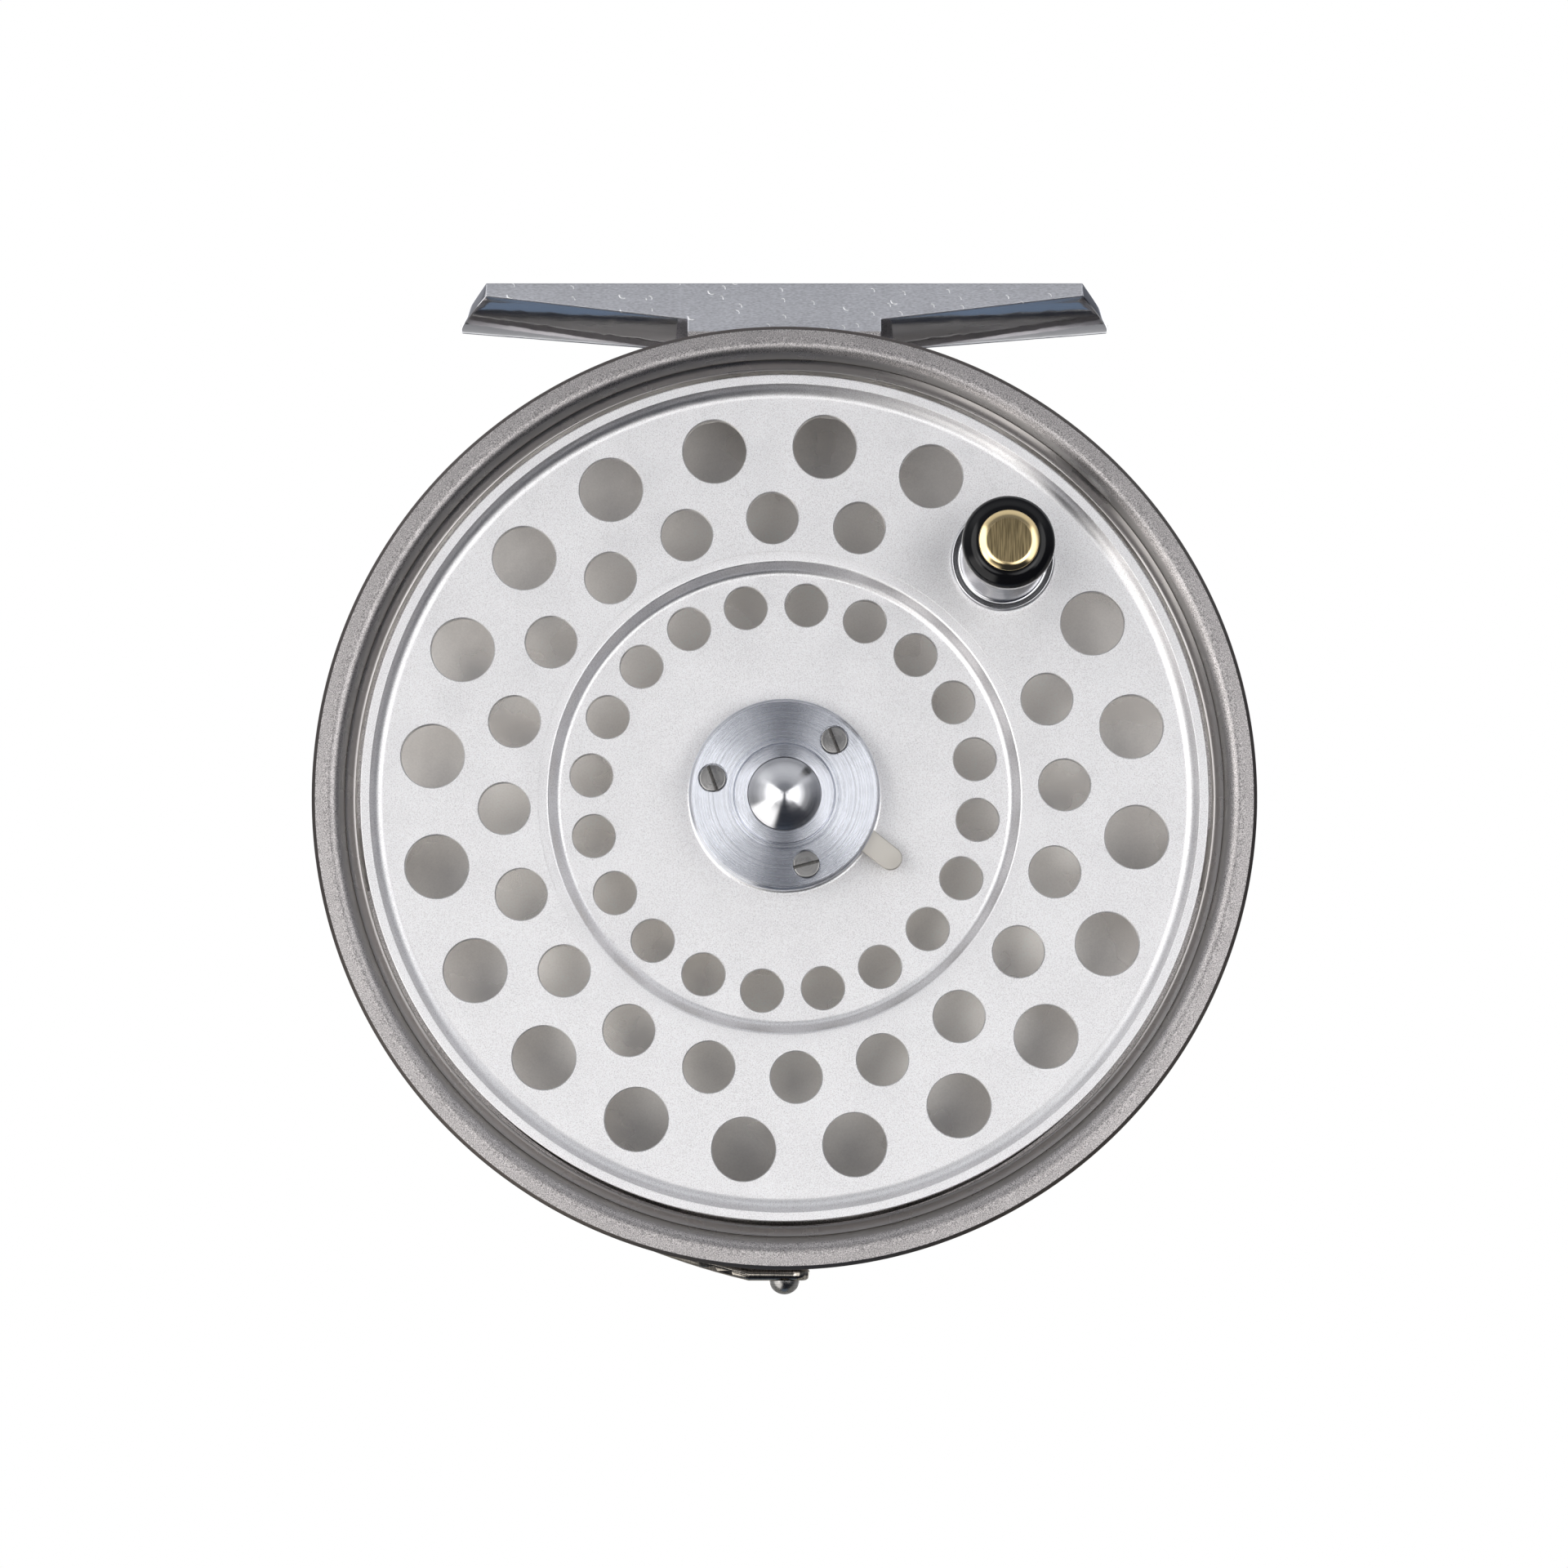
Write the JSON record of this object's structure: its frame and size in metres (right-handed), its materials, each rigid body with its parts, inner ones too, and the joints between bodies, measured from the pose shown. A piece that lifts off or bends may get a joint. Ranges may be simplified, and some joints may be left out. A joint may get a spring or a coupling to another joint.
{
  "type": "fly reel",
  "caption": "Click-and-pawl fly reel with a perforated spool in a caged frame, a turning handle, a hub latch, a line guard and a saddle foot for a rod.",
  "frame": {"origin": "on the axis of the rod that the foot's saddle lies on, over the middle of the foot", "axes": "+X along the rod, +Y along the spindle from the handle side to the back, +Z from the reel up to the rod"},
  "size_m": [0.089, 0.0448, 0.0965],
  "materials": {
    "frame_alloy": "pewter-coloured anodised, fine bead-blasted satin",
    "foot_alloy": "milled and polished",
    "nickel_silver": "polished nickel silver",
    "screw_steel": "turned, slotted",
    "spindle_steel": "polished",
    "spool_alloy": "silver anodised, fine bead-blasted satin",
    "spool_turned": "turned",
    "cover_alloy": "bright turned",
    "latch_nickel": "matt nickel",
    "spring_steel": "tempered spring steel",
    "check_steel": "ground steel",
    "brass": "turned brass",
    "ferrule_alloy": "polished",
    "knob_black": "gloss black",
    "rivet_brass": "brushed brass",
    "adjuster_alloy": "knurled, satin"
  },
  "bodies": {
    "frame": {"frame_ring": "frame_alloy", "back_plate": "frame_alloy", "pillar_left": "frame_alloy", "pillar_right": "frame_alloy", "pillar_bottom": "frame_alloy", "pillar_screws": "screw_steel", "foot_bridge": "frame_alloy", "foot": "foot_alloy", "foot_screws": "screw_steel", "line_guard": "nickel_silver", "guard_screws": "screw_steel", "spindle": "spindle_steel", "spindle_nut": "spindle_steel", "pawl_posts": "check_steel", "spring_posts": "check_steel", "check_spring_upper": "spring_steel", "check_spring_lower": "spring_steel"},
    "spool": {"spool_face": "spool_alloy", "spool_arbor": "spool_turned", "spool_rear_flange": "spool_turned", "ratchet_wheel": "brass", "ratchet_screws": "screw_steel", "spool_bush_front": "brass", "spool_bush_rear": "brass", "latch_cover": "cover_alloy", "cover_screws": "screw_steel", "latch_pivot": "latch_nickel", "latch_spring": "spring_steel", "knob_ferrule": "ferrule_alloy", "knob_rivet": "rivet_brass"},
    "handle": {"knob": "knob_black"},
    "latch": {"latch_lever": "latch_nickel"},
    "pawl_upper": {"check_pawl_upper": "check_steel"},
    "pawl_lower": {"check_pawl_lower": "check_steel"},
    "adjuster": {"adjuster_cam": "check_steel", "adjuster_knob": "adjuster_alloy"}
  },
  "joints": [
    {"name": "spool_spin", "type": "hinge", "parent": "frame", "child": "spool", "pos_m": [0, 0, -0.05448], "axis": [0, 1, 0], "continuous": true},
    {"name": "knob_spin", "type": "hinge", "parent": "spool", "child": "handle", "pos_m": [0.02065, -0.02, -0.03203], "axis": [0, 1, 0], "continuous": true},
    {"name": "latch_press", "type": "hinge", "parent": "spool", "child": "latch", "pos_m": [-0.00471, -0.0131, -0.05077], "axis": [0, 1, 0], "range_deg": [0, 10], "stiffness_Nm_per_rad": 0.02, "springref_deg": -11.46, "deforming": ["latch_spring"]},
    {"name": "pawl_upper_click", "type": "hinge", "parent": "frame", "child": "pawl_upper", "pos_m": [0, 0.0097, -0.0404], "axis": [0, 1, 0], "range_deg": [-14, 14], "stiffness_Nm_per_rad": 0.02, "deforming": ["check_spring_upper"]},
    {"name": "pawl_lower_click", "type": "hinge", "parent": "frame", "child": "pawl_lower", "pos_m": [0, 0.0097, -0.06856], "axis": [0, 1, 0], "range_deg": [-14, 14], "stiffness_Nm_per_rad": 0.02, "deforming": ["check_spring_lower"]},
    {"name": "adjuster_turn", "type": "hinge", "parent": "frame", "child": "adjuster", "pos_m": [0, 0.0135, -0.07361], "axis": [0, 1, 0], "range_deg": [0, 180]}
  ]
}
